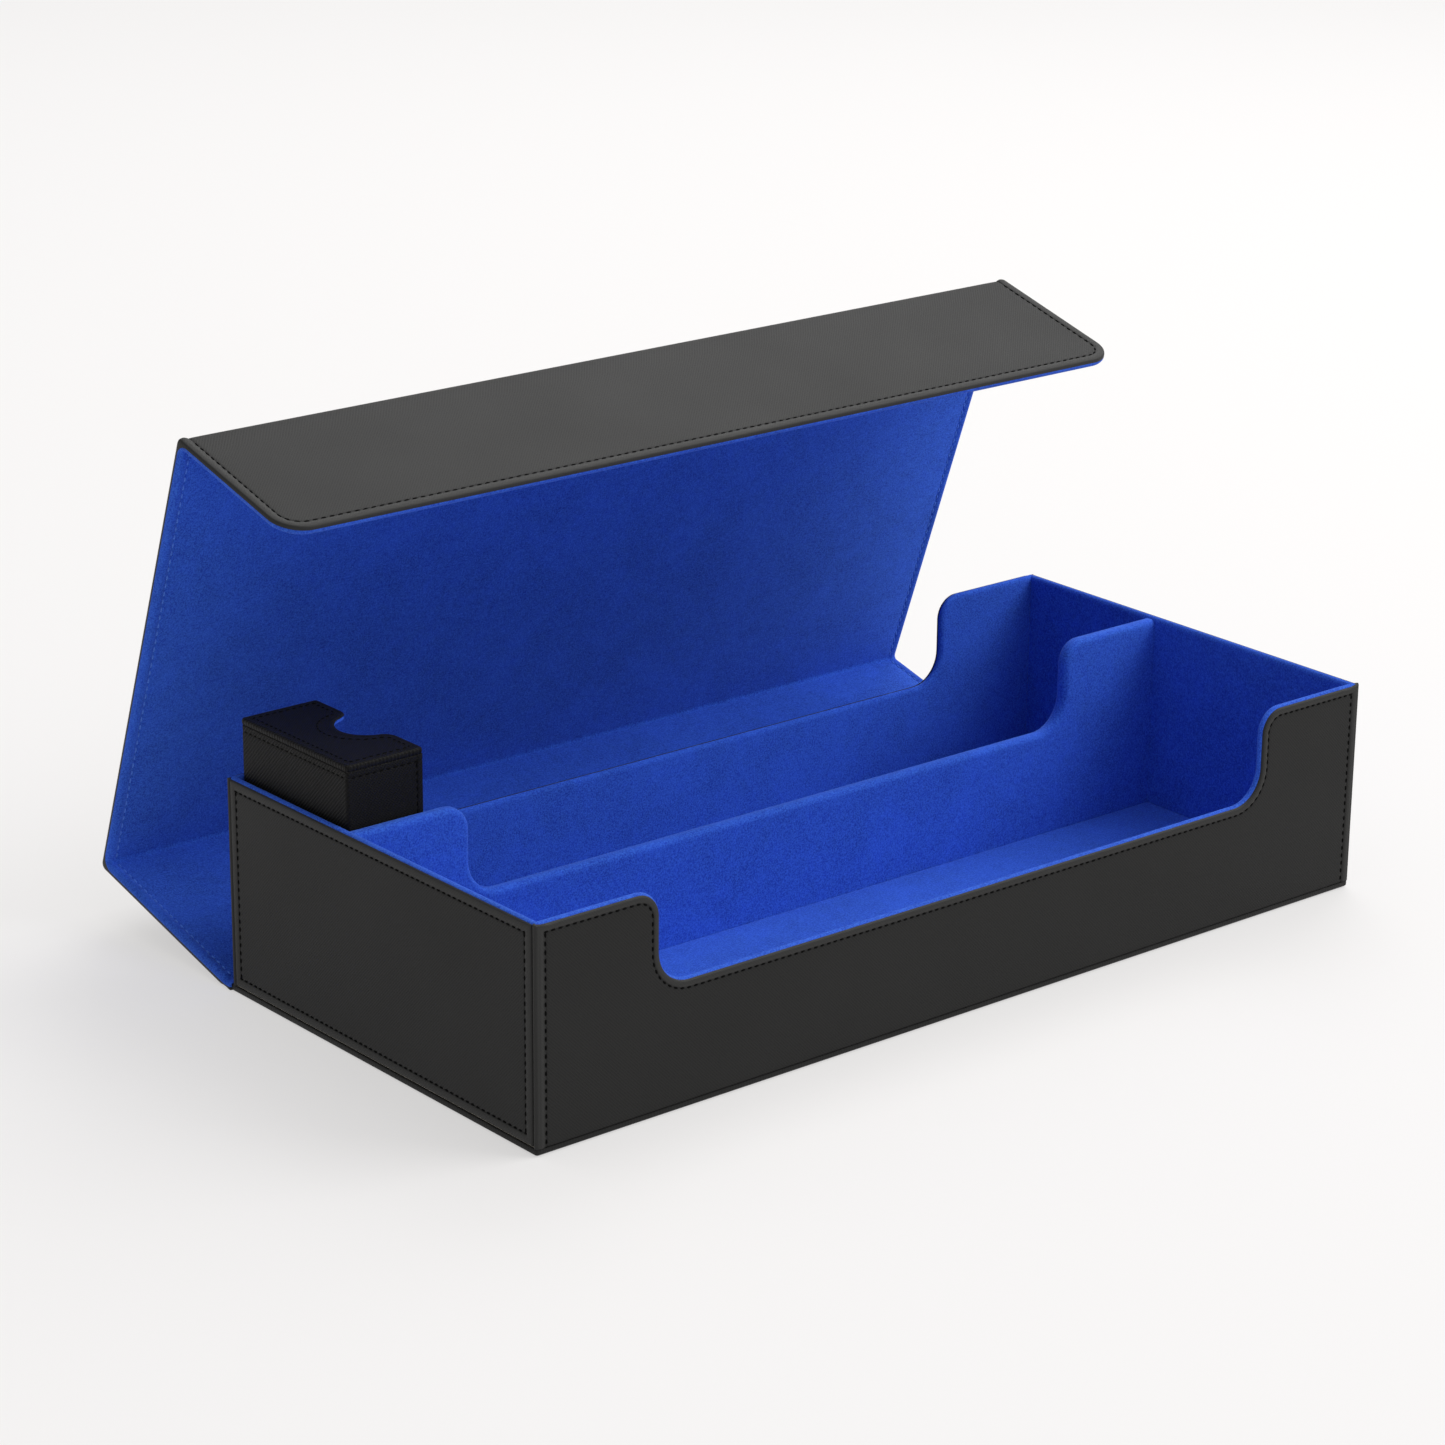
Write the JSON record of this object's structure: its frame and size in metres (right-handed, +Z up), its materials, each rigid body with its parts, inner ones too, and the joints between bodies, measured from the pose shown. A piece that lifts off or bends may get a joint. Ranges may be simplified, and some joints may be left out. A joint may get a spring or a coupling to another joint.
{
  "type": "card deck box",
  "caption": "Long leathered card tray with notched walls and a divider, a folding lid with a front flap, and a small loose deck box standing in the rear lane.",
  "frame": {"origin": "middle of the tray's footprint, at the height of the table", "axes": "+X along the tray, away from the small deck box; +Y back towards the lid's hinge; +Z up"},
  "size_m": [0.4206, 0.2831, 0.2135],
  "materials": {
    "black_leather": "fine cross-hatched grain, satin",
    "blue_suede": "napped microfibre suede",
    "grey_board": "plain",
    "magnet_steel": "nickel plated",
    "black_thread": "waxed thread",
    "blue_thread": "waxed thread"
  },
  "bodies": {
    "tray": {"base_leather": "black_leather", "base_board": "grey_board", "floor_board": "grey_board", "front_board": "grey_board", "rear_board": "grey_board", "left_board": "grey_board", "right_board": "grey_board", "divider_board": "grey_board", "front_leather": "black_leather", "rear_leather": "black_leather", "left_leather": "black_leather", "right_leather": "black_leather", "front_lining": "blue_suede", "rear_lining": "blue_suede", "left_lining": "blue_suede", "right_lining": "blue_suede", "divider_lining": "blue_suede", "front_floor_lining": "blue_suede", "rear_floor_lining": "blue_suede", "tray_magnets": "magnet_steel", "rear_strip_leather": "black_leather", "rear_strip_lining": "blue_suede", "front_thread": "black_thread", "rear_thread": "black_thread", "left_thread": "black_thread", "right_thread": "black_thread"},
    "back_panel": {"back_leather": "black_leather", "back_board": "grey_board", "back_lining": "blue_suede", "back_thread": "blue_thread"},
    "top_strip": {"top_strip_leather": "black_leather", "top_strip_lining": "blue_suede"},
    "top_panel": {"top_leather": "black_leather", "top_board": "grey_board", "top_lining": "blue_suede", "top_thread": "blue_thread"},
    "flap_strip": {"flap_strip_leather": "black_leather", "flap_strip_lining": "blue_suede"},
    "flap": {"flap_leather": "black_leather", "flap_board": "grey_board", "flap_lining": "blue_suede", "flap_thread": "black_thread", "flap_lining_thread": "blue_thread", "flap_magnets": "magnet_steel"},
    "deck_box": {"deck_back_board": "grey_board", "deck_side_boards": "grey_board", "deck_top_board": "grey_board", "deck_foot_board": "grey_board", "deck_back_leather": "black_leather", "deck_side_leather": "black_leather", "deck_top_leather": "black_leather", "deck_foot_leather": "black_leather", "deck_lining_shell": "blue_suede", "deck_thread": "black_thread"}
  },
  "joints": [
    {"name": "rear_fold", "type": "hinge", "parent": "tray", "child": "back_panel", "pos_m": [0, 0.1011, 0.0017], "axis": [1, 0, 0], "range_deg": [0, 74.9]},
    {"name": "top_crease", "type": "hinge", "parent": "back_panel", "child": "top_strip", "pos_m": [0, 0.18355, 0.02395], "axis": [1, 0, 0], "range_deg": [-4.5, 0]},
    {"name": "top_fold", "type": "hinge", "parent": "top_strip", "child": "top_panel", "pos_m": [0, 0.1855, 0.02767], "axis": [1, 0, 0], "range_deg": [-94.4, 0]},
    {"name": "flap_crease", "type": "hinge", "parent": "top_panel", "child": "flap_strip", "pos_m": [0, 0.12065, 0.21082], "axis": [1, 0, 0], "range_deg": [-20.1, 0]},
    {"name": "flap_fold", "type": "hinge", "parent": "flap_strip", "child": "flap", "pos_m": [0, 0.1167, 0.21226], "axis": [1, 0, 0], "range_deg": [-86.1, 23.9]},
    {"name": "deck_box_tip", "type": "hinge", "parent": "tray", "child": "deck_box", "pos_m": [-0.171, 0.05758, 0.0055], "axis": [0, 1, 0], "range_deg": [0, 90]}
  ],
  "couplings": [
    {"joint": "top_crease", "follows": "rear_fold", "ratio": -0.058745},
    {"joint": "flap_crease", "follows": "rear_fold", "ratio": -0.26702},
    {"joint": "deck_box_tip", "follows": "rear_fold", "ratio": 1.2}
  ]
}
